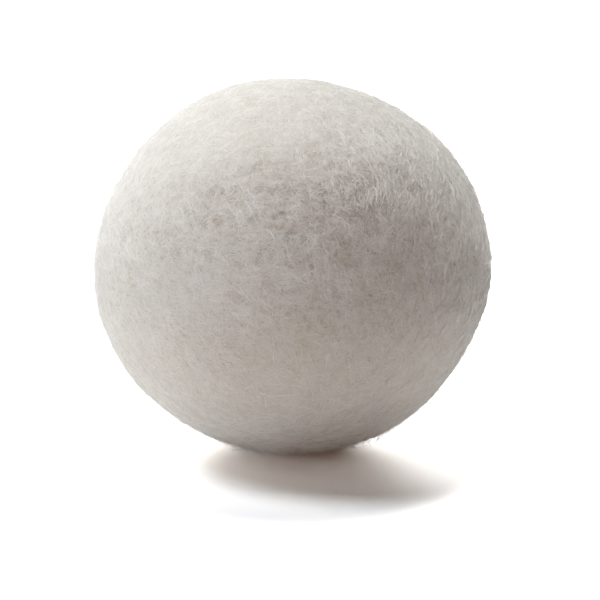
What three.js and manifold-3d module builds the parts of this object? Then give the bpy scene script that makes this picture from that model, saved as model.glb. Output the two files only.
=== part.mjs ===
// A felted wool dryer ball, built up from the middle outwards as the real one is: a pinched tuft of wool, three
// lengths of yarn wound crosswise over it, three strips of carded wool wrapped crosswise over the yarn, and a
// thick seamless skin of felt. Millimetres, +Z up. The origin is the middle of the flat that the ball stands on.

import * as THREE from "three";
import { mergeVertices } from "three/addons/utils/BufferGeometryUtils.js";
import Module from "manifold-3d";

const wasm = await Module();
wasm.setup();

// Driving dimensions

const WIDTH = 71.6; // along X, left to right
const DEPTH = 70.4; // along Y, front to back
const HEIGHT = 68.1; // along Z, before the foot is pressed flat
const FOOT_RADIUS = 7; // flat that the ball's own weight presses into the soft wool

const GAP = 0.5; // between one layer and the next
const TUFT_RADIUS = 6.4; // heart tuft, at its widest
const TUFT_WAIST = 3.6; // where the tuft is pinched
const YARN_THICKNESS = 3.2; // wool yarn
const WRAP_THICKNESS = 3.6; // carded wool strip
const PUCKER_RADIUS = 2.4; // hole left where a wrapped strip gathers at its two poles
const NEEDLE_RADIUS = 0.5; // track of a felting needle through the skin

// Fineness of the meshes

const SKIN_DETAIL = 14; // times that each edge of an icosahedron is split
const HOLLOW_DETAIL = 6;
const WRAP_SEGMENTS = 32; // round a wrap's axis
const WRAP_STEPS = 14; // from pole to pole of a wrap
const YARN_SECTION_STEPS = 3; // on each half of the strand's outline
const TUFT_SEGMENTS = 20;
const TUFT_STEPS = 18;

// The felt swells and sinks a little all over. A bearing is in degrees round the ball from +X towards +Y, a
// climb in degrees above its middle, a rise in millimetres (negative for a dent) and a spread in degrees.
const SWELLS = [
  { bearing: 2, climb: 4, rise: 0.25, spread: 16 },
  { bearing: 8, climb: 30, rise: 0.25, spread: 14 },
  { bearing: 30, climb: 62, rise: -0.2, spread: 18 },
  { bearing: 150, climb: 62, rise: 0.6, spread: 20 },
  { bearing: 171, climb: 31, rise: -0.3, spread: 16 },
  { bearing: 185, climb: -14, rise: 0.45, spread: 22 },
  { bearing: 196, climb: -38, rise: 0.2, spread: 18 },
  { bearing: -22, climb: -52, rise: 0.1, spread: 16 },
  { bearing: -7, climb: -28, rise: -0.55, spread: 18 },
  { bearing: -60, climb: 20, rise: -0.4, spread: 22 },
  { bearing: -110, climb: 35, rise: 0.35, spread: 24 },
  { bearing: -125, climb: -20, rise: 0.3, spread: 20 },
  { bearing: 55, climb: 15, rise: 0.5, spread: 22 },
  { bearing: 95, climb: -15, rise: -0.5, spread: 20 },
  { bearing: 120, climb: 25, rise: 0.4, spread: 18 },
  { bearing: 60, climb: -45, rise: 0.35, spread: 18 },
];

const radians = THREE.MathUtils.degToRad;

// Shape of the outside

const halfWidth = WIDTH / 2;
const halfDepth = DEPTH / 2;
const halfHeight = HEIGHT / 2;

function towards(bearing, climb) {
  const level = Math.cos(radians(climb));
  const x = level * Math.cos(radians(bearing));
  const y = level * Math.sin(radians(bearing));
  return new THREE.Vector3(x, y, Math.sin(radians(climb)));
}

const swells = SWELLS.map((swell) => ({ ...swell, centre: towards(swell.bearing, swell.climb) }));

function outsideRadius(direction) {
  const across = direction.x / halfWidth;
  const along = direction.y / halfDepth;
  const up = direction.z / halfHeight;
  let radius = 1 / Math.hypot(across, along, up);
  for (const swell of swells) {
    const away = direction.angleTo(swell.centre) / radians(swell.spread);
    radius += swell.rise * Math.exp(-away * away);
  }
  return radius;
}

// How far the ball sinks for its foot to have that radius, on an underside as round as an ellipsoid's
const undersideRadius = halfWidth ** 2 / halfHeight;
const sink = FOOT_RADIUS ** 2 / (2 * undersideRadius);
const middleHeight = halfHeight - sink;

// Solids

function solidOf(geometry) {
  const bare = geometry.clone();
  bare.deleteAttribute("normal");
  bare.deleteAttribute("uv");
  const merged = mergeVertices(bare);
  const vertProperties = merged.attributes.position.array;
  const triVerts = new Uint32Array(merged.index.array);
  return new wasm.Manifold(new wasm.Mesh({ numProp: 3, vertProperties, triVerts }));
}

function geometryOf(solid) {
  const mesh = solid.getMesh();
  const geometry = new THREE.BufferGeometry();
  geometry.setAttribute("position", new THREE.BufferAttribute(mesh.vertProperties, 3));
  geometry.setIndex(new THREE.BufferAttribute(mesh.triVerts, 1));
  return geometry;
}

function wool(colour) {
  return new THREE.MeshStandardMaterial({ color: colour, roughness: 0.95, metalness: 0 });
}

// Heart tuft: a short roll of wool, pinched round its middle

function heartTuft() {
  const profile = [new THREE.Vector2(0, -TUFT_RADIUS)];
  for (let i = 1; i < TUFT_STEPS; i += 1) {
    const fromEnd = (Math.PI * i) / TUFT_STEPS;
    const pinch = (TUFT_RADIUS - TUFT_WAIST) * Math.sin(fromEnd) ** 8;
    const radius = TUFT_RADIUS * Math.sin(fromEnd) - pinch;
    profile.push(new THREE.Vector2(radius, -TUFT_RADIUS * Math.cos(fromEnd)));
  }
  profile.push(new THREE.Vector2(0, TUFT_RADIUS));
  const tuft = new THREE.Mesh(new THREE.LatheGeometry(profile, TUFT_SEGMENTS), wool(0xcfc6b6));
  tuft.name = "heart_tuft";
  tuft.rotation.set(radians(60), radians(20), 0);
  return tuft;
}

// Yarn windings: one strand each, laid turn beside turn from pole to pole

class BallSpiral extends THREE.Curve {
  constructor(radius, pitch) {
    super();
    this.radius = radius;
    this.poleAngle = pitch / radius; // polar angle that the strand begins and ends at
    this.turns = (radius * (Math.PI - 2 * this.poleAngle)) / pitch;
    this.arcLengthDivisions = Math.ceil(this.turns * 60);
  }

  getPoint(t, target = new THREE.Vector3()) {
    const fromPole = this.poleAngle + t * (Math.PI - 2 * this.poleAngle);
    const round = t * this.turns * 2 * Math.PI;
    const flat = this.radius * Math.sin(fromPole);
    return target.set(flat * Math.cos(round), flat * Math.sin(round), this.radius * Math.cos(fromPole));
  }
}

function yarnWinding(name, innerRadius, colour, tilt) {
  const pitch = YARN_THICKNESS + GAP;
  const path = new BallSpiral(innerRadius + YARN_THICKNESS / 2, pitch);
  const section = new THREE.Shape().absarc(0, 0, YARN_THICKNESS / 2, 0, 2 * Math.PI);
  const steps = Math.round(path.getLength() / YARN_THICKNESS);
  const options = { steps, curveSegments: YARN_SECTION_STEPS, extrudePath: path };
  const geometry = new THREE.ExtrudeGeometry(section, options);
  const strand = new THREE.Mesh(geometry, wool(colour));
  strand.name = name;
  strand.rotation.set(...tilt.map(radians));
  return strand;
}

// Wool wraps: a strip of carded wool wrapped once round the ball, gathered to a small pucker at its two poles

function woolWrap(name, innerRadius, colour, tilt) {
  const outerRadius = innerRadius + WRAP_THICKNESS;
  const profile = [];
  for (const radius of [outerRadius, innerRadius]) {
    const poleAngle = Math.asin(PUCKER_RADIUS / radius);
    const arc = [];
    for (let i = 0; i <= WRAP_STEPS; i += 1) {
      const fromPole = poleAngle + ((Math.PI - 2 * poleAngle) * i) / WRAP_STEPS;
      arc.push(new THREE.Vector2(radius * Math.sin(fromPole), -radius * Math.cos(fromPole)));
    }
    profile.push(...(radius === outerRadius ? arc : arc.reverse()));
  }
  profile.push(profile[0].clone());
  const wrap = new THREE.Mesh(new THREE.LatheGeometry(profile, WRAP_SEGMENTS), wool(colour));
  wrap.name = name;
  wrap.rotation.set(...tilt.map(radians));
  return wrap;
}

// Felt skin: the lumpy outside with its flat foot, hollow for the wound middle. One needle track opens the hollow.

function feltSkin(hollowRadius) {
  const outside = new THREE.IcosahedronGeometry(1, SKIN_DETAIL);
  const points = outside.attributes.position;
  const point = new THREE.Vector3();
  for (let i = 0; i < points.count; i += 1) {
    point.fromBufferAttribute(points, i).normalize();
    point.multiplyScalar(outsideRadius(point));
    point.z = Math.max(point.z, -middleHeight);
    points.setXYZ(i, point.x, point.y, point.z);
  }

  const hollow = new THREE.IcosahedronGeometry(hollowRadius, HOLLOW_DETAIL);
  hollow.scale(1, DEPTH / WIDTH, HEIGHT / WIDTH);

  const needleTrack = new THREE.CylinderGeometry(NEEDLE_RADIUS, NEEDLE_RADIUS, halfWidth, 8);
  needleTrack.translate(0, halfWidth, 0);
  const outwards = towards(80, -35);
  needleTrack.applyQuaternion(new THREE.Quaternion().setFromUnitVectors(new THREE.Vector3(0, 1, 0), outwards));

  const felt = solidOf(outside).subtract(solidOf(hollow)).subtract(solidOf(needleTrack));
  const skin = new THREE.Mesh(geometryOf(felt), wool(0xe6e2d9));
  skin.name = "felt_skin";
  return skin;
}

// The ball, layer on layer. The wound middle is squashed in the same proportions as the outside.

const woundMiddle = new THREE.Group();
woundMiddle.add(heartTuft());
let reached = TUFT_RADIUS + GAP;

const windings = [
  { name: "yarn_winding_inner", colour: 0xd6cdbd, tilt: [90, 0, 25] },
  { name: "yarn_winding_middle", colour: 0xddd5c7, tilt: [0, 75, 0] },
  { name: "yarn_winding_outer", colour: 0xe0d9cc, tilt: [15, -20, 0] },
];
for (const { name, colour, tilt } of windings) {
  woundMiddle.add(yarnWinding(name, reached, colour, tilt));
  reached += YARN_THICKNESS + GAP;
}

const wraps = [
  { name: "wool_wrap_first", colour: 0xe2dccf, tilt: [0, 0, 70] },
  { name: "wool_wrap_second", colour: 0xe4dfd3, tilt: [80, 0, 15] },
  { name: "wool_wrap_third", colour: 0xe5e0d6, tilt: [20, 0, -35] },
];
for (const { name, colour, tilt } of wraps) {
  woundMiddle.add(woolWrap(name, reached, colour, tilt));
  reached += WRAP_THICKNESS + GAP;
}
woundMiddle.scale.set(1, DEPTH / WIDTH, HEIGHT / WIDTH);

const skin = feltSkin(reached);
const ball = new THREE.Group();
ball.add(woundMiddle, skin);

// The swells are uneven, so the ball is moved to put the middle of its plan over the origin.
skin.geometry.computeBoundingBox();
const middle = skin.geometry.boundingBox.getCenter(new THREE.Vector3());
ball.position.set(-middle.x, -middle.y, middleHeight);

export default ball;
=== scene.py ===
"""A felted wool dryer ball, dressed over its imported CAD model.

The felt skin becomes a finely pitted surface under a mat of real fibres: thousands of short wavy hairs that
lie the way the wool was wrapped, with raised wisps, fuzz and long stray curls over them. Inside it lie the
carded wraps, the plied yarn windings and the pinched tuft, each detailed in the place of its CAD solid.
Lengths are metres.
"""

import math

import bmesh
import bpy
import numpy as np
from mathutils import Euler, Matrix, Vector, noise
from mathutils.bvhtree import BVHTree


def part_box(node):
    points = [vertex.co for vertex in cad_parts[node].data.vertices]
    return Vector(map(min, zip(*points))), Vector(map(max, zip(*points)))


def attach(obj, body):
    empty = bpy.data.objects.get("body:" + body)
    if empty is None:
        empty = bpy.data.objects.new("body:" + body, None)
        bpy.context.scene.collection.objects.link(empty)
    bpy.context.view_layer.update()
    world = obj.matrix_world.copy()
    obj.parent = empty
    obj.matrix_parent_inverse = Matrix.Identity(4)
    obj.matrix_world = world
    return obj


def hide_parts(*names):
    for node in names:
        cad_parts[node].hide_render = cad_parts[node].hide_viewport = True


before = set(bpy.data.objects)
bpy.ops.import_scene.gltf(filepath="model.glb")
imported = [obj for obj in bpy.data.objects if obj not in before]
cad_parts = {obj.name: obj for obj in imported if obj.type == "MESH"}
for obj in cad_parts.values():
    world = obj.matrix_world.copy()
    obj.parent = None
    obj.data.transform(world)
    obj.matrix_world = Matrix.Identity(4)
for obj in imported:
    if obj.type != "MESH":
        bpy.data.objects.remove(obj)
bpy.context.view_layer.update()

# Sizes

MM = 0.001
low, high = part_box("felt_skin")
MIDDLE = (Vector(low) + Vector(high)) / 2
WIDTH = high[0] - low[0]
RADIUS = WIDTH / 2
SKIN_CELLS = 124  # along each edge of the cube that the skin's mesh is blown up from
HOLLOW_CELLS = 32  # the same for the skin's inner wall

# The wound middle: the same layers as in the CAD model, from the middle outwards. Each is tilted by its
# angles in degrees about X, Y and Z.
low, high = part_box("wool_wrap_third")
CORE_MIDDLE = (Vector(low) + Vector(high)) / 2
CORE_HALF = (Vector(high) - Vector(low)) / 2
SQUASH = np.array([1, 70.4 / 71.6, 68.1 / 71.6])  # the ball's depth and height to its width
GAP = 0.5 * MM
TUFT_RADIUS = 6.4 * MM
TUFT_WAIST = 3.6 * MM
TUFT_TILT = (60, 20, 0)
YARN = 3.2 * MM
WRAP = 3.6 * MM
PUCKER = 2.4 * MM
WRAP_FIBRES = 2520  # round each wrap
WINDINGS = {
    "yarn_winding_inner": (90, 0, 25),
    "yarn_winding_middle": (0, 75, 0),
    "yarn_winding_outer": (15, -20, 0),
}
WRAPS = {
    "wool_wrap_first": (0, 0, 70),
    "wool_wrap_second": (80, 0, 15),
    "wool_wrap_third": (20, 0, -35),
}

random = np.random.default_rng(72)


def towards(bearing, climb):
    """The direction at a bearing in degrees from +X towards +Y, and a climb in degrees above the level."""
    bearing, climb = math.radians(bearing), math.radians(climb)
    return Vector((math.cos(climb) * math.cos(bearing), math.cos(climb) * math.sin(bearing), math.sin(climb)))


def unit(vectors):
    return vectors / np.linalg.norm(vectors, axis=-1, keepdims=True)


# The strips of wool that were wrapped on last. Each shows most near its own middle, given as a bearing and
# climb, and its fibres lean by so many degrees from the level there, rising to the right for a positive lean.
# The looser it was felted, from 0 to 1, the deeper its pits, the darker the shade painted into them, and the
# more of its wool still stands up.
STRIPS = [
    {"middle": (-52, 39), "lean": 60, "spread": 24, "loose": 1.0},
    {"middle": (-32, 19), "lean": 88, "spread": 24, "loose": 1.0},
    {"middle": (-73, 9), "lean": -43, "spread": 26, "loose": 0.7},
    {"middle": (-57, -22), "lean": 64, "spread": 26, "loose": 0.2},
    {"middle": (-91, -42), "lean": 9, "spread": 30, "loose": 0.1},
    {"middle": (-118, 5), "lean": -11, "spread": 24, "loose": 0.8},
    {"middle": (-145, 13), "lean": -25, "spread": 26, "loose": 0.7},
    {"middle": (-135, 40), "lean": 35, "spread": 26, "loose": 0.3},
    {"middle": (-92, 70), "lean": 80, "spread": 28, "loose": 0.1},
    {"middle": (-99, 28), "lean": 11, "spread": 22, "loose": 1.0},
    {"middle": (-120, -22), "lean": -70, "spread": 26, "loose": 0.2},
    {"middle": (-172, 33), "lean": -76, "spread": 30, "loose": 0.5},
    {"middle": (0, -10), "lean": 40, "spread": 32, "loose": 0.8},
    {"middle": (20, 40), "lean": -30, "spread": 34, "loose": 0.4},
    {"middle": (60, 0), "lean": 75, "spread": 36, "loose": 0.7},
    {"middle": (95, 45), "lean": 15, "spread": 36, "loose": 0.3},
    {"middle": (115, -10), "lean": -40, "spread": 36, "loose": 0.6},
    {"middle": (165, 0), "lean": 50, "spread": 36, "loose": 0.7},
    {"middle": (45, -50), "lean": 5, "spread": 36, "loose": 0.1},
    {"middle": (150, -50), "lean": -25, "spread": 36, "loose": 0.1},
]


def strip_middle(strip):
    return towards(*strip["middle"])


def strip_grain(strip):
    """The way a strip's fibres run at its middle."""
    middle = strip_middle(strip)
    level = Vector((0, 0, 1)).cross(middle).normalized()
    lean = math.radians(strip["lean"])
    return level * math.cos(lean) + middle.cross(level) * math.sin(lean)


STRIP_MIDDLES = np.array([strip_middle(strip) for strip in STRIPS])
STRIP_AXES = np.array([strip_middle(strip).cross(strip_grain(strip)) for strip in STRIPS])
STRIP_SPREADS = np.radians([strip["spread"] for strip in STRIPS])
STRIP_LOOSENESS = np.array([strip["loose"] for strip in STRIPS])

# A slight shoulder across the front, and the shallow hollow under it. A swell stands or sinks by its rise in
# millimetres, and its spread is in degrees.
SWELLS = [
    {"middle": (bearing, climb), "rise": rise, "spread": 15}
    for climb, rise in ((41, 0.85), (15, -0.85))
    for bearing in (-118, -92, -66, -42)
]

# Meshes


class Bundle:
    """Gathers the closed shapes that make up one piece. Every face has a material number."""

    def __init__(self):
        self.count = 0
        self.points, self.normals = [], []
        self.corners, self.sides, self.shades = [], [], []

    def add(self, points, faces, shades, normals=None):
        """Adds a shape. Without normals it is lit as it lies.

        faces holds arrays of three or four corners a face, and shades a number or an array for each of them.
        """
        for corners, shade in zip(faces, shades):
            self.corners.append(corners.ravel() + self.count)
            self.sides.append(np.full(len(corners), corners.shape[1]))
            self.shades.append(np.broadcast_to(shade, len(corners)))
        self.points.append(points)
        self.normals.append(normals)
        self.count += len(points)

    def light_as_given(self, mesh):
        """Gives the mesh its own normals, except where others were added with the vertices."""
        normals = np.empty(len(mesh.vertices) * 3, dtype=np.float32)
        mesh.vertex_normals.foreach_get("vector", normals)
        normals = normals.reshape(-1, 3)
        start = 0
        for points, given in zip(self.points, self.normals):
            if given is not None:
                normals[start:start + len(points)] = given
            start += len(points)
        mesh.normals_split_custom_set_from_vertices(normals)

    def piece(self, name, materials):
        corners = np.concatenate(self.corners)
        sides = np.concatenate(self.sides)
        starts = np.concatenate([[0], sides.cumsum()[:-1]])
        mesh = bpy.data.meshes.new(name)
        mesh.vertices.add(self.count)
        mesh.loops.add(len(corners))
        mesh.polygons.add(len(sides))
        mesh.vertices.foreach_set("co", np.concatenate(self.points).ravel())
        mesh.loops.foreach_set("vertex_index", corners.astype(np.int32))
        mesh.polygons.foreach_set("loop_start", starts.astype(np.int32))
        mesh.polygons.foreach_set("loop_total", sides.astype(np.int32))
        mesh.polygons.foreach_set("material_index", np.concatenate(self.shades).astype(np.int32))
        mesh.update(calc_edges=True)
        mesh.validate()
        mesh.shade_smooth()
        self.light_as_given(mesh)
        for material in materials:
            mesh.materials.append(material)
        return mesh_object(name, mesh)


def mesh_object(name, mesh):
    made = bpy.data.objects.new(name, mesh)
    bpy.context.scene.collection.objects.link(made)
    return made


def grid_faces(rows, columns, closed_rows=False):
    """Quads over a grid of vertices whose columns close on themselves, and its rows too if asked."""
    row = np.arange(rows if closed_rows else rows - 1)[:, None]
    column = np.arange(columns)[None, :]
    here, after = row * columns, (row + 1) % rows * columns
    beside = (column + 1) % columns
    corners = [here + column, here + beside, after + beside, after + column]
    return np.stack(corners, axis=-1).reshape(-1, 4)


def capped_tube(rings, ends):
    """Vertices and faces of a tube through rings of points, (rings, sides, 3), closed by two end points."""
    count, sides, _ = rings.shape
    column = np.arange(sides)
    beside = (column + 1) % sides
    last_ring = (count - 1) * sides
    first_end = np.full(sides, count * sides)
    start = np.stack([beside, column, first_end], axis=-1)
    finish = np.stack([last_ring + column, last_ring + beside, first_end + 1], axis=-1)
    points = np.concatenate([rings.reshape(-1, 3), ends])
    return points, [grid_faces(count, sides), np.concatenate([start, finish])]


def round_mesh(cells):
    """A closed ball of unit radius as a bmesh, made from a cube with that many cells along each edge."""
    ball = bmesh.new()
    bmesh.ops.create_cube(ball, size=2)
    bmesh.ops.subdivide_edges(ball, edges=ball.edges, cuts=cells - 1, use_grid_fill=True)
    for vertex in ball.verts:
        vertex.co = Vector(math.tan(math.pi / 4 * part) for part in vertex.co).normalized()
    return ball


def outside_of(node):
    """The closed outside of a CAD node, without its hollow, as a tree for casting rays."""
    shell = bmesh.new()
    shell.from_mesh(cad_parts[node].data)
    hull = bmesh.ops.convex_hull(shell, input=shell.verts)
    inside = {item for item in hull["geom_interior"] + hull["geom_unused"] if item.is_valid}
    inside = [item for item in inside if isinstance(item, bmesh.types.BMVert)]
    bmesh.ops.delete(shell, geom=inside, context="VERTS")
    tree = BVHTree.FromBMesh(shell)
    shell.free()
    return tree


def reach(tree, direction):
    """Distance from the ball's middle to the surface in that direction."""
    return tree.ray_cast(MIDDLE, direction)[3]


def surface(tree, directions):
    """Distances from the ball's middle to the surface in each direction, and which way it faces there."""
    hits = [tree.ray_cast(MIDDLE, Vector(direction)) for direction in directions.reshape(-1, 3)]
    distances = np.array([hit[3] for hit in hits]).reshape(directions.shape[:-1])
    facing = np.array([hit[1] for hit in hits]).reshape(directions.shape)
    return distances, facing


# Felt skin

ROOM_FOR_HAIRS = 0.05  # how far the felt is kept down, in millimetres
CLEARANCE = 0.8  # of its inner wall round the wraps, to the gap between layers


def looseness(direction):
    """How loosely the wool was felted there, from 0 to 1."""
    away = np.arccos(np.clip(STRIP_MIDDLES @ np.array(direction), -1, 1)) / STRIP_SPREADS
    return (STRIP_LOOSENESS * np.exp(-away * away)).max()


def dimples(direction):
    """How far the felted surface stands above its smooth shape. The heights are added up in millimetres."""
    loose = looseness(direction)
    broad = noise.noise(direction * 4.0) * 0.16
    soft = noise.noise(direction * 11.0 + Vector((3, 1, 7))) * 0.08
    clumps = noise.noise(direction * 24.0) * 0.16 * loose
    pits = noise.noise(direction * 42.0) * (0.025 + 0.10 * loose)
    for swell in SWELLS:
        away = direction.angle(towards(*swell["middle"])) / math.radians(swell["spread"])
        broad += swell["rise"] * math.exp(-away * away)
    return (broad + soft + clumps + pits - ROOM_FOR_HAIRS) * MM


def felt_skin():
    """The felt as a thick shell, and the tree of its outside.

    Its outside is dimpled and flat at the foot. Its inner wall stays just clear of the wool wrapped under it.
    """
    outside = outside_of("felt_skin")
    skin = round_mesh(SKIN_CELLS)
    for vertex in skin.verts:
        direction = vertex.co.copy()
        vertex.co = MIDDLE + direction * (reach(outside, direction) + dimples(direction))
        vertex.co.z = max(vertex.co.z, 0)
    skin.normal_update()
    tree = BVHTree.FromBMesh(skin)

    hollow = round_mesh(HOLLOW_CELLS)
    half = CORE_HALF + Vector((GAP, GAP, GAP)) * CLEARANCE
    for vertex in hollow.verts:
        uneven = 1 + 0.004 * noise.noise(vertex.co * 6.0)
        vertex.co = CORE_MIDDLE + half * vertex.co * uneven
    bmesh.ops.reverse_faces(hollow, faces=hollow.faces)
    mesh = bpy.data.meshes.new("felt_surface")
    hollow.to_mesh(mesh)
    skin.from_mesh(mesh)
    skin.to_mesh(mesh)
    hollow.free()
    skin.free()
    mesh.shade_smooth()
    return mesh_object("felt_surface", mesh), tree


# Fibres

SHADES = 4  # of fibre


def turned(tangents, normals, angles):
    """Tangents turned about the normals by angles in radians."""
    sideways = np.cross(normals, tangents)
    return tangents * np.cos(angles)[:, None] + sideways * np.sin(angles)[:, None]


def flattened(headings, places):
    """Headings made level with the ball's surface at the places."""
    return unit(headings - places * (headings * places).sum(axis=1, keepdims=True))


def anywhere(count):
    """Directions spread evenly over the ball."""
    return unit(random.normal(size=(count, 3)))


def where_loose(count):
    """Directions in the strips that were felted loosely."""
    pick = random.choice(len(STRIPS), count, p=STRIP_LOOSENESS / STRIP_LOOSENESS.sum())
    return unit(STRIP_MIDDLES[pick] + random.normal(0, 0.22, (count, 3)))


def near_foot(count):
    """Directions to the rounded edge of the ball's foot."""
    bearings = random.uniform(-180, 180, count)
    climbs = random.uniform(-74, -52, count)
    return np.array([towards(bearing, climb) for bearing, climb in zip(bearings, climbs)])


def strip_headings(starts):
    """The way the wool runs from each start: along one of the strips near it."""
    away = np.arccos(np.clip(starts @ STRIP_MIDDLES.T, -1, 1)) / STRIP_SPREADS
    chance = np.exp(-away * away) + 1e-4
    chance /= chance.sum(axis=1, keepdims=True)
    pick = (chance.cumsum(axis=1) < random.random(len(starts))[:, None]).sum(axis=1)
    return unit(np.cross(STRIP_AXES[pick.clip(0, len(STRIPS) - 1)], starts))


def wander(hearts, headings, lengths, points, wisp, spread, scatter, wave, curl):
    """Directions from the ball's middle to points along fibres that wander over it: (fibres, points, 3).

    The fibres lie in wisps of so many that start within a spread in metres and set off nearly the same way.
    Scatter is how far a wisp strays from its heading, wave how far a fibre swings to and fro, and curl how
    far it turns from end to end, all in radians.
    """
    count = len(lengths)
    wisps = count // wisp
    heart = hearts(wisps)
    heart_heading = turned(headings(heart), heart, random.normal(0, scatter, wisps))
    place = unit(np.repeat(heart, wisp, axis=0) + random.normal(0, spread / RADIUS, (count, 3)))
    heading = flattened(np.repeat(heart_heading, wisp, axis=0), place)
    heading = turned(heading, place, random.normal(0, 0.22, count))
    swing = np.repeat(random.normal(0, wave, wisps), wisp) + random.normal(0, wave / 3, count)
    phase = np.repeat(random.uniform(0, 2 * math.pi, wisps), wisp) + random.normal(0, 0.5, count)
    bend = np.repeat(random.normal(0, curl, wisps), wisp) + random.normal(0, curl / 3, count)
    step = lengths / (points - 1) / RADIUS
    directions = []
    turn_before = 0
    for along in np.linspace(0, 1, points):
        turn = swing * np.sin(phase + 2 * math.pi * along) + bend * along
        heading = turned(flattened(heading, place), place, turn - turn_before)
        turn_before = turn
        directions.append(place)
        place = unit(place + heading * step[:, None])
    return np.stack(directions, axis=1)


def add_fibres(bundle, paths, normals, widths, softness, first_shade=0):
    """Adds a three-sided tapered tube along each path, of one shade.

    Softness is how far a fibre is lit as the surface under it is, because real ones let light through.
    """
    count, points, _ = paths.shape
    along = unit(np.gradient(paths, axis=1))
    sideways = unit(np.cross(normals, along))
    over = np.cross(along, sideways)
    taper = 0.35 + 0.65 * np.sin(np.pi * np.linspace(0.08, 0.92, points))
    radii = widths[:, None] / 2 * taper[None, :]
    angles = math.pi / 2 + np.arange(3) * 2 * math.pi / 3
    offsets = np.stack([math.cos(angle) * sideways + math.sin(angle) * over for angle in angles], axis=2)
    vertices = paths[:, :, None, :] + offsets * radii[:, :, None, None]
    lit = unit(offsets * (1 - softness) + normals[:, :, None, :] * softness)

    starts = np.arange(count)[:, None, None] * points * 3
    side = grid_faces(points, 3)
    ends = np.array([[2, 1, 0], [points * 3 - 3, points * 3 - 2, points * 3 - 1]])
    shades = random.integers(first_shade, first_shade + SHADES, count)
    faces = [(starts + side).reshape(-1, 4), (starts + ends).reshape(-1, 3)]
    face_shades = [np.repeat(shades, len(side)), np.repeat(shades, len(ends))]
    bundle.add(vertices.reshape(-1, 3), faces, face_shades, lit.reshape(-1, 3))


# Materials

def wool(name, colour, glow=0.0):
    """Wool of one colour. glow is how far light passes through it."""
    material = bpy.data.materials.new(name)
    material.use_nodes = True
    shader = material.node_tree.nodes["Principled BSDF"]
    shader.inputs["Base Color"].default_value = (*colour, 1)
    shader.inputs["Roughness"].default_value = 0.95
    shader.inputs["Specular IOR Level"].default_value = 0.2
    shader.inputs["Sheen Weight"].default_value = 0.2
    shader.inputs["Sheen Roughness"].default_value = 0.6
    shader.inputs["Subsurface Weight"].default_value = glow
    shader.inputs["Subsurface Radius"].default_value = (1, 0.95, 0.9)
    shader.inputs["Subsurface Scale"].default_value = 0.1 * MM
    return material


class Pattern:
    """Builds one material's node pattern in the object's own coordinates."""

    def __init__(self, material):
        self.nodes = material.node_tree.nodes
        self.links = material.node_tree.links
        self.shader = self.nodes["Principled BSDF"]
        self.place = self.nodes.new("ShaderNodeTexCoord").outputs["Object"]

    def node(self, kind, inputs, output=0, **settings):
        made = self.nodes.new(kind)
        for name, value in settings.items():
            setattr(made, name, value)
        for name, value in inputs.items():
            if isinstance(value, bpy.types.NodeSocket):
                self.links.new(value, made.inputs[name])
            else:
                made.inputs[name].default_value = value
        return made.outputs[output]

    def maths(self, operation, *values):
        return self.node("ShaderNodeMath", dict(enumerate(values)), operation=operation)

    def vectors(self, operation, *values, output=0):
        return self.node("ShaderNodeVectorMath", dict(enumerate(values)), output, operation=operation)

    def scaled(self, vector, scale):
        return self.node("ShaderNodeVectorMath", {0: vector, "Scale": scale}, operation="SCALE")

    def rotated(self, place, euler):
        inputs = {"Vector": place, "Rotation": euler}
        return self.node("ShaderNodeVectorRotate", inputs, rotation_type="EULER_XYZ")

    def noise(self, place, size, detail=2.0, roughness=0.5, output="Fac"):
        """Noise from 0 to 1 with features of about that size in metres."""
        inputs = {"Vector": place, "Scale": 1 / size, "Detail": detail, "Roughness": roughness}
        return self.node("ShaderNodeTexNoise", inputs, output)

    def ramp(self, value, low, high, top=1.0):
        """0 below low, top above high, smooth between."""
        inputs = {"Value": value, "From Min": low, "From Max": high, "To Max": top}
        return self.node("ShaderNodeMapRange", inputs, interpolation_type="SMOOTHSTEP")

    def mix(self, share, first, second):
        """Share 0 gives the first colour, 1 the second."""
        first = (*first, 1) if isinstance(first, tuple) else first
        inputs = {"Factor": share, "A": first, "B": (*second, 1)}
        return self.node("ShaderNodeMix", inputs, "Result", data_type="RGBA")

    def colour(self, colour):
        self.links.new(colour, self.shader.inputs["Base Color"])

    def bump(self, height, strength, depth):
        """A bump of that depth in metres."""
        normal = self.node("ShaderNodeBump", {"Height": height, "Strength": strength, "Distance": depth})
        self.links.new(normal, self.shader.inputs["Normal"])


def hair(name, colour, glow=0.0):
    """One shade of fibre, with fine scales that roughen it unevenly."""
    material = wool(name, colour, glow)
    pattern = Pattern(material)
    scales = pattern.noise(pattern.place, 0.12 * MM)
    rough = pattern.node("ShaderNodeMapRange", {"Value": scales, "To Min": 0.8, "To Max": 1.0})
    pattern.links.new(rough, pattern.shader.inputs["Roughness"])
    return material


HAIR_LENGTH = 2.6 * MM  # of the finest hairs, drawn in the felt's pattern
HAIR_SPACING = 0.55 * MM


def fine_hairs(pattern, drift, strip):
    """Fine hairs along one strip of wool: 1 on a hair and 0 off it."""
    turn = strip_grain(strip).to_track_quat("X", "Z").inverted().to_euler()
    place = pattern.rotated(pattern.vectors("ADD", pattern.place, drift), turn)
    squeezed = pattern.vectors("MULTIPLY", place, (1 / HAIR_LENGTH, 1 / HAIR_SPACING, 1 / HAIR_SPACING))
    off = pattern.maths("ABSOLUTE", pattern.maths("SUBTRACT", pattern.noise(squeezed, 1, 1.5), 0.5))
    return pattern.maths("SUBTRACT", 1.0, pattern.ramp(off, 0.0, 0.016))


def strip_shows(pattern, outwards, strip):
    """1 at the middle of a strip, falling to 0 past its spread."""
    nearness = pattern.vectors("DOT_PRODUCT", outwards, strip_middle(strip), output="Value")
    spread = math.radians(strip["spread"])
    return pattern.ramp(nearness, math.cos(spread * 1.5), math.cos(spread * 0.4))


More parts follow.
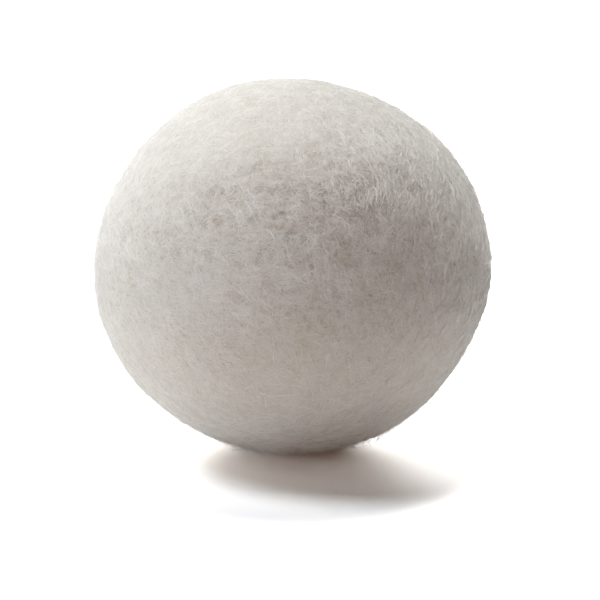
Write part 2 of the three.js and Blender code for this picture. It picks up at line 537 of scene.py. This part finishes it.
def felted(name):
    """Felt: warm white wool with painted shade in its small pits, and a few specks, under fine pale hairs.

    The hairs run the way each strip was wrapped. The pits are darkened as painted shade, most where the strip
    was felted loosely, and the same pit mask sinks the bump there.
    """
    material = wool(name, (0.8, 0.77, 0.72))
    pattern = Pattern(material)
    outwards = pattern.vectors("NORMALIZE", pattern.vectors("SUBTRACT", pattern.place, MIDDLE))
    swirl = pattern.noise(pattern.place, 2.4 * MM, 1.0, output="Color")
    drift = pattern.scaled(pattern.vectors("SUBTRACT", swirl, (0.5, 0.5, 0.5)), 2.2 * MM)
    hairs = 0
    loose = 0
    for strip in STRIPS:
        shown = strip_shows(pattern, outwards, strip)
        hair_here = pattern.maths("MULTIPLY", fine_hairs(pattern, drift, strip), shown)
        loose_here = pattern.maths("MULTIPLY", shown, strip["loose"])
        hairs = pattern.maths("MAXIMUM", hairs, hair_here)
        loose = pattern.maths("MAXIMUM", loose, loose_here)
    # Painted shade: the pits' dark warm colour stands in for the shade that falls in them, deepest where the
    # felt is loose. The same mask also sinks the bump.
    pits = pattern.ramp(pattern.noise(pattern.place, 1.0 * MM, 3.0, 0.6), 0.42, 0.74)
    depth = pattern.maths("MULTIPLY_ADD", loose, 0.75, 0.25)
    pits = pattern.maths("MULTIPLY", pits, depth)
    blotches = pattern.ramp(pattern.noise(pattern.place, 4 * MM, 3.0), 0.35, 0.65)
    specks = pattern.ramp(pattern.noise(pattern.place, 0.8 * MM, 0.0), 0.90, 0.93)
    colour = pattern.mix(blotches, (0.77, 0.74, 0.67), (0.72, 0.685, 0.61))
    # Painted shade in the pits.
    colour = pattern.mix(pits, colour, (0.53, 0.465, 0.38))
    colour = pattern.mix(pattern.maths("MULTIPLY", hairs, 0.6), colour, (0.92, 0.905, 0.875))
    pattern.colour(pattern.mix(specks, colour, (0.30, 0.24, 0.18)))
    pattern.bump(pattern.maths("SUBTRACT", hairs, pits), 0.25, 0.05 * MM)
    return material


def combed(name, tilt):
    """Carded wool: streaks that run round the axis it is wrapped about."""
    pale, dark = (0.89, 0.87, 0.83), (0.75, 0.715, 0.66)
    material = wool(name, pale)
    pattern = Pattern(material)
    axis = Vector(tilted(np.array([0.0, 1.0, 0.0]), tilt))
    turn = axis.to_track_quat("Z", "Y").inverted().to_euler()
    place = pattern.rotated(pattern.vectors("SUBTRACT", pattern.place, CORE_MIDDLE), turn)
    split = pattern.nodes.new("ShaderNodeSeparateXYZ")
    pattern.links.new(place, split.inputs[0])
    x, y, z = split.outputs
    square = pattern.maths("ADD", pattern.maths("MULTIPLY", x, x), pattern.maths("MULTIPLY", y, y))
    lane = 1 / (0.35 * MM)
    round_axis = pattern.maths("MULTIPLY", pattern.maths("ARCTAN2", y, x), 4.0)
    from_axis = pattern.maths("MULTIPLY", pattern.maths("SQRT", square), lane)
    up_axis = pattern.maths("MULTIPLY", z, lane)
    lanes = pattern.node("ShaderNodeCombineXYZ", {0: round_axis, 1: from_axis, 2: up_axis})
    streaks = pattern.ramp(pattern.noise(lanes, 1, 3.0, 0.6), 0.35, 0.65)
    clumps = pattern.ramp(pattern.noise(pattern.place, 2.5 * MM), 0.35, 0.7, top=0.35)
    pattern.colour(pattern.mix(clumps, pattern.mix(streaks, dark, pale), dark))
    pattern.bump(streaks, 0.5, 0.12 * MM)
    return material


def fluffy(name, size, pale, dark):
    """Loose wool with no grain of its own, in clumps of that size."""
    material = wool(name, pale)
    pattern = Pattern(material)
    warp = pattern.scaled(pattern.noise(pattern.place, size, 1.0, output="Color"), size * 1.5)
    tangle = pattern.noise(pattern.vectors("ADD", pattern.place, warp), size * 0.3, 3.0, 0.65)
    tangle = pattern.ramp(tangle, 0.35, 0.65)
    clumps = pattern.ramp(pattern.noise(pattern.place, size * 2), 0.35, 0.65, top=0.3)
    pattern.colour(pattern.mix(clumps, pattern.mix(tangle, dark, pale), dark))
    pattern.bump(tangle, 0.5, size * 0.08)
    return material


# Wound middle

def tilted(points, tilt):
    """Points turned as the CAD layer is."""
    turn = Euler([math.radians(angle) for angle in tilt], "ZYX").to_matrix()
    return points @ np.array(turn).T


def placed(points, tilt):
    """Points of a layer, made about its own axis, put where the CAD layer is."""
    return np.array(CORE_MIDDLE) + tilted(points, tilt) * SQUASH


def about_y(from_end, round_axis):
    """Directions at angles from the -Y end of the Y axis and round it, in radians."""
    x = np.sin(from_end) * np.sin(round_axis)
    y = -np.cos(from_end) + 0 * round_axis
    z = np.sin(from_end) * np.cos(round_axis)
    return np.stack([x, y, z], axis=-1)


def round_and_round(count):
    return np.linspace(0, 2 * math.pi, count, endpoint=False)[None, :]


def lumps(directions, fineness, shift):
    """Smooth noise from -1 to 1 in each direction."""
    values = [noise.noise(Vector(direction) * fineness + shift) for direction in directions.reshape(-1, 3)]
    return np.array(values).reshape(directions.shape[:-1])


def heart_tuft():
    """A roll of wool pinched round its middle, with folds that gather into the pinch."""
    from_end = np.linspace(0, math.pi, 74)[1:-1][:, None]
    round_axis = round_and_round(96)
    pinch = np.sin(from_end) ** 8
    broad_folds = 0.10 * np.sin(9 * round_axis + 2 * np.sin(3 * from_end))
    narrow_folds = 0.06 * np.sin(17 * round_axis + 5 * from_end)
    folds = (broad_folds + narrow_folds) * (0.25 + 0.75 * pinch)
    waist = 1 - (1 - TUFT_WAIST / TUFT_RADIUS) * pinch / np.sin(from_end)
    rings = about_y(from_end, round_axis) * TUFT_RADIUS * 0.98
    rings[..., [0, 2]] *= (waist * (1 + folds))[..., None]
    rings *= (0.98 + 0.02 * lumps(unit(rings), 5.0, Vector((1, 2, -1))))[..., None]
    ends = np.array([[0, -1, 0], [0, 1, 0]]) * TUFT_RADIUS * 0.97
    points, faces = capped_tube(rings, ends)
    bundle = Bundle()
    bundle.add(placed(points, TUFT_TILT), faces, [0, 0])
    return bundle


def ball_spiral(radius, share):
    """Points at shares from 0 to 1 along a spiral laid turn beside turn from pole to pole of a ball."""
    pitch = YARN + GAP
    pole_angle = pitch / radius
    turns = radius * (math.pi - 2 * pole_angle) / pitch
    from_pole = pole_angle + share * (math.pi - 2 * pole_angle)
    round_axis = share * turns * 2 * math.pi
    flat = radius * np.sin(from_pole)
    up = radius * np.cos(from_pole)
    return np.stack([flat * np.cos(round_axis), flat * np.sin(round_axis), up], axis=-1)


def evenly_along(radius, step):
    """Points one step apart along the spiral, and its length."""
    shares = np.linspace(0, 1, 4000)
    steps = np.linalg.norm(np.diff(ball_spiral(radius, shares), axis=0), axis=1)
    travelled = np.concatenate([[0], steps.cumsum()])
    length = travelled[-1]
    places = np.linspace(0, length, round(length / step))
    return ball_spiral(radius, np.interp(places, travelled, shares)), length


def plied_yarn(inner_radius, tilt):
    """One strand of three plies twisted together, with loose ends of wool along it."""
    ply_offset, ply_radius = 0.75 * MM, 0.83 * MM  # of each ply from the strand's middle, and its own
    lay = 9 * MM  # length in which a ply turns once round the strand
    path, length = evenly_along(inner_radius + YARN / 2, 0.75 * MM)
    count = len(path)
    along = unit(np.gradient(path, axis=0))
    outward = flattened(path, along)
    sideways = np.cross(along, outward)

    round_strand = round_and_round(24)
    twist = np.linspace(0, length / lay * 2 * math.pi, count)[:, None]
    third = 2 * math.pi / 3
    off_ply = (round_strand - twist + third / 2) % third - third / 2
    outline = ply_offset * np.cos(off_ply) + np.sqrt(ply_radius**2 - (ply_offset * np.sin(off_ply)) ** 2)
    outline *= 1 + 0.03 * np.sin(11 * (round_strand - twist * 2.3)) * np.sin(twist * 1.7)
    from_end = np.minimum(np.arange(count), np.arange(count)[::-1])
    blunt = np.minimum(1, from_end / 3 + 0.35)[:, None]
    offsets = outward[:, None] * np.cos(round_strand)[..., None]
    offsets = offsets + sideways[:, None] * np.sin(round_strand)[..., None]
    rings = path[:, None] + offsets * (outline * blunt)[..., None]
    points, faces = capped_tube(rings, path[[0, -1]])
    bundle = Bundle()
    bundle.add(placed(points, tilt), faces, [0, 0])

    ends, span = round(length / (0.2 * MM)), np.arange(6)
    steps = random.integers(0, count - len(span), ends)[:, None] + span
    angles = random.uniform(0, 2 * math.pi, (ends, 1)) + random.uniform(0.2, 0.5, (ends, 1)) * span
    normals = outward[steps] * np.cos(angles)[..., None] + sideways[steps] * np.sin(angles)[..., None]
    lift = YARN / 2 * 0.93 + random.uniform(0.02, 0.3, (ends, 1)) * MM * (span / span[-1]) ** 2
    widths = random.uniform(0.04, 0.09, ends) * MM
    fluff = placed(path[steps] + normals * lift[..., None], tilt)
    add_fibres(bundle, fluff, unit(tilted(normals, tilt)), widths, softness=0.45, first_shade=1)
    return bundle


def carded_wrap(inner_radius, tilt, shift):
    """A wrap of carded wool: a thick shell that gathers into pleats at its poles, with fibres round it."""
    middle, half = inner_radius + WRAP / 2, WRAP / 2 * 0.96
    pole_angle = math.asin(PUCKER / middle) + half / middle
    arc = np.linspace(pole_angle, math.pi - pole_angle, 60)
    rim = np.linspace(0, math.pi, 10)[1:-1]
    bulge = np.sin(rim) * half / middle
    from_pole = np.concatenate([arc, math.pi - pole_angle + bulge, arc[::-1], pole_angle - bulge])[:, None]
    side = np.concatenate([np.ones(len(arc)), np.cos(rim), -np.ones(len(arc)), -np.cos(rim)])[:, None]
    round_axis = round_and_round(150)
    near_pole = np.exp(-np.minimum(from_pole, math.pi - from_pole) / 0.45)
    pleats = (np.sin(19 * round_axis) + 0.5 * np.sin(31 * round_axis)) * near_pole * 0.13
    directions = about_y(from_pole, round_axis)
    rolls = 0.10 * lumps(directions * np.array([1.0, 5.0, 1.0]), 3.0, shift)
    shell = directions * (middle + side * (half + (pleats + rolls) * MM))[..., None]
    bundle = Bundle()
    faces = [grid_faces(len(from_pole), round_axis.size, closed_rows=True)]
    bundle.add(placed(shell.reshape(-1, 3), tilt), faces, [0])

    def round_the_axis(starts):
        return unit(np.cross(starts, np.array([0.0, 1.0, 0.0])))

    lengths = random.uniform(3, 8, WRAP_FIBRES) * MM * RADIUS / middle
    ways = wander(
        anywhere, round_the_axis, lengths, points=7,
        wisp=6, spread=0.5 * MM, scatter=0.15, wave=0.15, curl=0.15,
    )
    ways = ways[np.abs(ways[..., 1]).max(axis=1) < math.cos(pole_angle + 0.12)]
    arch = np.sin(np.pi * np.linspace(0, 1, 7))
    heights = middle + half + (0.01 + 0.16 * arch) * MM
    widths = random.uniform(0.05, 0.11, len(ways)) * MM
    fibres = placed(ways * heights[:, None], tilt)
    add_fibres(bundle, fibres, unit(tilted(ways, tilt)), widths, softness=0.45, first_shade=1)
    return bundle


# Build

HAIR_COLOURS = [(0.84, 0.80, 0.73), (0.88, 0.85, 0.785), (0.92, 0.90, 0.845), (0.97, 0.96, 0.92)]
felt_hairs = [hair(f"felt_hair_{shade}", colour) for shade, colour in enumerate(HAIR_COLOURS, 1)]
loose_hairs = [hair(f"loose_hair_{shade}", colour, glow=1.0) for shade, colour in enumerate(HAIR_COLOURS, 1)]


def dress(piece, node=None):
    """Hangs the piece under the root body, and hides the CAD node it stands for, if any."""
    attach(piece, "root")
    if node:
        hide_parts(node)


skin, skin_tree = felt_skin()
skin.data.materials.append(felted("felt"))
dress(skin, "felt_skin")

raw_wool = fluffy("raw_tuft", 1.2 * MM, (0.83, 0.79, 0.72), (0.66, 0.60, 0.51))
dress(heart_tuft().piece("pinched_tuft", [raw_wool]), "heart_tuft")
reached = TUFT_RADIUS + GAP

yarn = fluffy("plied_yarn", 0.7 * MM, (0.87, 0.84, 0.79), (0.72, 0.68, 0.60))
for node, tilt in WINDINGS.items():
    strand = plied_yarn(reached, tilt).piece("plied_" + node, [yarn, *felt_hairs])
    dress(strand, node)
    reached += YARN + GAP

for number, (node, tilt) in enumerate(WRAPS.items()):
    wrap = carded_wrap(reached, tilt, Vector((3, 6, -3)) * (number + 1))
    dress(wrap.piece("combed_" + node, [combed("combed_" + node, tilt), *felt_hairs]), node)
    reached += WRAP + GAP

FIBRES = 7590  # in each piece of matted fibres, raised wisps or fuzz
STRAYS = 800
FOOT_STRAYS = 360
ROOT_DEPTH = 0.02  # of a fibre's ends under the skin, in millimetres
FLOOR_CLEARANCE = 0.06 * MM


def arched(along):
    """A fibre with both ends in the felt."""
    return np.sin(np.pi * along) ** 0.8


def free_ended(along):
    """A fibre with one end in the felt and one free."""
    return along**1.3


def felt_fibres(name, lengths, lifts, widths, hearts, rise, hairs, softness, upward, **wandering):
    """One piece of the felt's fibres. Lengths, lifts over the skin and widths are in millimetres.

    Hairs as fine as these let light past, so they cast no shadow, and the more they stand clear of the felt
    the more they catch the light from above: upward is how far they are lit that way. Any that would dip into
    the floor are left out.
    """
    ways = wander(hearts, strip_headings, lengths * MM, **wandering)
    reaches, facing = surface(skin_tree, ways)
    heights = (lifts[:, None] * rise(np.linspace(0, 1, wandering["points"])) - ROOT_DEPTH) * MM
    paths = np.array(MIDDLE) + ways * (reaches + heights)[..., None]
    clear = paths[..., 2].min(axis=1) > FLOOR_CLEARANCE
    lit = unit(facing + np.array([0, 0, upward]))
    bundle = Bundle()
    add_fibres(bundle, paths[clear], lit[clear], widths[clear] * MM, softness)
    piece = bundle.piece(name, hairs)
    piece.visible_shadow = False
    piece.visible_diffuse = False
    dress(piece)


FINE, COARSE = (0.045, 0.085), (0.09, 0.135)  # least and greatest widths of matted fibres, in millimetres

for number, thinness in enumerate([FINE, FINE, FINE, COARSE], 1):
    felt_fibres(
        f"matted_fibres_{number}",
        lengths=np.clip(random.lognormal(math.log(3.4), 0.4, FIBRES), 1.2, 8),
        lifts=random.uniform(0, 0.16, FIBRES),
        widths=random.uniform(*thinness, FIBRES),
        hearts=anywhere, rise=arched, points=5,
        wisp=3, spread=0.3 * MM, scatter=0.4, wave=0.4, curl=0.5,
        hairs=felt_hairs, softness=0.7, upward=0,
    )
for number in (1, 2):
    felt_fibres(
        f"raised_wisps_{number}",
        lengths=random.uniform(1.5, 4.5, FIBRES),
        lifts=random.uniform(0.12, 0.5, FIBRES),
        widths=random.uniform(0.045, 0.08, FIBRES),
        hearts=where_loose, rise=arched, points=5,
        wisp=3, spread=0.6 * MM, scatter=0.5, wave=0.6, curl=0.9,
        hairs=loose_hairs, softness=0.3, upward=0.4,
    )
for number in (1, 2, 3, 4):
    felt_fibres(
        f"fuzz_{number}",
        lengths=random.uniform(1.0, 2.4, FIBRES),
        lifts=random.gamma(3, 0.15, FIBRES),
        widths=random.uniform(0.03, 0.055, FIBRES),
        hearts=anywhere, rise=free_ended, points=5,
        wisp=1, spread=0, scatter=1.5, wave=0.4, curl=0.6,
        hairs=loose_hairs, softness=0.3, upward=0.2,
    )
felt_fibres(
    "stray_curls",
    lengths=random.uniform(3, 9, STRAYS),
    lifts=random.uniform(0.3, 0.9, STRAYS),
    widths=random.uniform(0.07, 0.11, STRAYS),
    hearts=where_loose, rise=arched, points=14,
    wisp=1, spread=0, scatter=1.0, wave=0.7, curl=1.8,
    hairs=felt_hairs, softness=0.5, upward=1.2,
)
felt_fibres(
    "foot_curls",
    lengths=random.uniform(2, 6, FOOT_STRAYS),
    lifts=random.uniform(0.3, 1.3, FOOT_STRAYS),
    widths=random.uniform(0.05, 0.09, FOOT_STRAYS),
    hearts=near_foot, rise=free_ended, points=10,
    wisp=3, spread=0.8 * MM, scatter=1.5, wave=0.6, curl=1.6,
    hairs=loose_hairs, softness=0.3, upward=0,
)

# Stage, light and camera

PAPER = 0.8  # share of its light that the floor throws back onto the ball
PAPER_SEEN = 1.85  # the same towards the camera


def paper():
    """White paper. The camera sees it 2.3 times too bright, as a white studio sweep is exposed."""
    material = bpy.data.materials.new("paper")
    material.use_nodes = True
    nodes, links = material.node_tree.nodes, material.node_tree.links
    nodes.clear()
    ray = nodes.new("ShaderNodeLightPath")
    blend = nodes.new("ShaderNodeMix")
    blend.data_type = "RGBA"
    for socket, shade in (("A", PAPER), ("B", PAPER_SEEN)):
        blend.inputs[socket].default_value = (shade, shade, shade, 1)
    diffuse = nodes.new("ShaderNodeBsdfDiffuse")
    output = nodes.new("ShaderNodeOutputMaterial")
    links.new(ray.outputs["Is Camera Ray"], blend.inputs["Factor"])
    links.new(blend.outputs["Result"], diffuse.inputs["Color"])
    links.new(diffuse.outputs["BSDF"], output.inputs["Surface"])
    return material


def add_floor():
    disc = bmesh.new()
    bmesh.ops.create_circle(disc, cap_ends=True, segments=128, radius=3)
    mesh = bpy.data.meshes.new("floor")
    disc.to_mesh(mesh)
    disc.free()
    mesh.materials.append(paper())
    made = mesh_object("floor", mesh)
    made.location.z = -0.02 * MM
    return made


def add_white_sky():
    """A white backdrop that the camera sees, and that lights nothing."""
    world = bpy.data.worlds.new("studio")
    bpy.context.scene.world = world
    world.use_nodes = True
    world.cycles.sampling_method = "NONE"
    nodes, links = world.node_tree.nodes, world.node_tree.links
    ray = nodes.new("ShaderNodeLightPath")
    background = nodes["Background"]
    background.inputs["Color"].default_value = (1, 1, 1, 1)
    links.new(ray.outputs["Is Camera Ray"], background.inputs["Strength"])


LIGHT_DISTANCE = 0.8


def softbox(name, direction, size, power, colour=(1, 1, 1)):
    """A round lamp that faces the ball: its size in metres and its power in watts."""
    light = bpy.data.lights.new(name, "AREA")
    light.shape = "DISK"
    light.size = size
    light.energy = power
    light.color = colour
    lamp = bpy.data.objects.new(name, light)
    bpy.context.scene.collection.objects.link(lamp)
    lamp.location = MIDDLE + direction * LIGHT_DISTANCE
    lamp.rotation_mode = "QUATERNION"
    lamp.rotation_quaternion = direction.to_track_quat("Z", "Y")
    lamp.visible_camera = False
    return lamp


def light_only(lamp, target):
    """Keeps a lamp's light off everything but the target, though everything still throws its shadow there."""
    lit = bpy.data.collections.new(lamp.name + "_lights")
    lit.objects.link(target)
    lamp.light_linking.receiver_collection = lit


CAMERA_CLIMB = 15
CAMERA_DISTANCE = 0.7
FRAME_WIDTH = WIDTH * 1.52  # what the picture takes in at the ball
AIM_RIGHT, AIM_DOWN = 1.4 * MM, 6.5 * MM  # from the ball's middle


def add_camera():
    camera = bpy.data.objects.new("camera", bpy.data.cameras.new("camera"))
    bpy.context.scene.collection.objects.link(camera)
    back = towards(-90, CAMERA_CLIMB)
    right = Vector((1, 0, 0))
    up = back.cross(right)
    aim = MIDDLE + right * AIM_RIGHT - up * AIM_DOWN
    camera.location = aim + back * CAMERA_DISTANCE
    camera.rotation_mode = "QUATERNION"
    camera.rotation_quaternion = back.to_track_quat("Z", "Y")
    camera.data.sensor_width = 36
    camera.data.lens = camera.data.sensor_width * CAMERA_DISTANCE / FRAME_WIDTH
    camera.data.clip_start = 0.01
    camera.data.clip_end = 20
    bpy.context.scene.camera = camera


floor = add_floor()
add_white_sky()

# The top and left softboxes stand behind the ball, so its front is lit mostly by what the floor throws back.
# The two low ones behind it fall on the floor alone: they draw the narrow shadow towards the camera without
# bleaching the ball's back. The warm one in front is light thrown back by the room.
softbox("left", towards(170, 55), 0.3, 2.1, (0.88, 0.94, 1))
softbox("left_top", towards(180, 68), 0.25, 1.0, (0.95, 0.98, 1))
softbox("top", towards(90, 68), 0.25, 4.2, (1, 0.985, 0.95))
softbox("back_top", towards(75, 25), 0.3, 0.3)
softbox("left_low", towards(200, 8), 0.4, 1.25, (0.84, 0.89, 1))
softbox("front_low", towards(225, 8), 0.4, 0.38, (1, 0.9, 0.6))
softbox("room", towards(-90, 8), 0.4, 0.33, (1, 0.18, 0))
light_only(softbox("back", towards(90, 8), 0.25, 8.4), floor)
light_only(softbox("back_left", towards(95, 8), 0.4, 9.2), floor)

add_camera()
bpy.context.scene.view_settings.view_transform = "Standard"
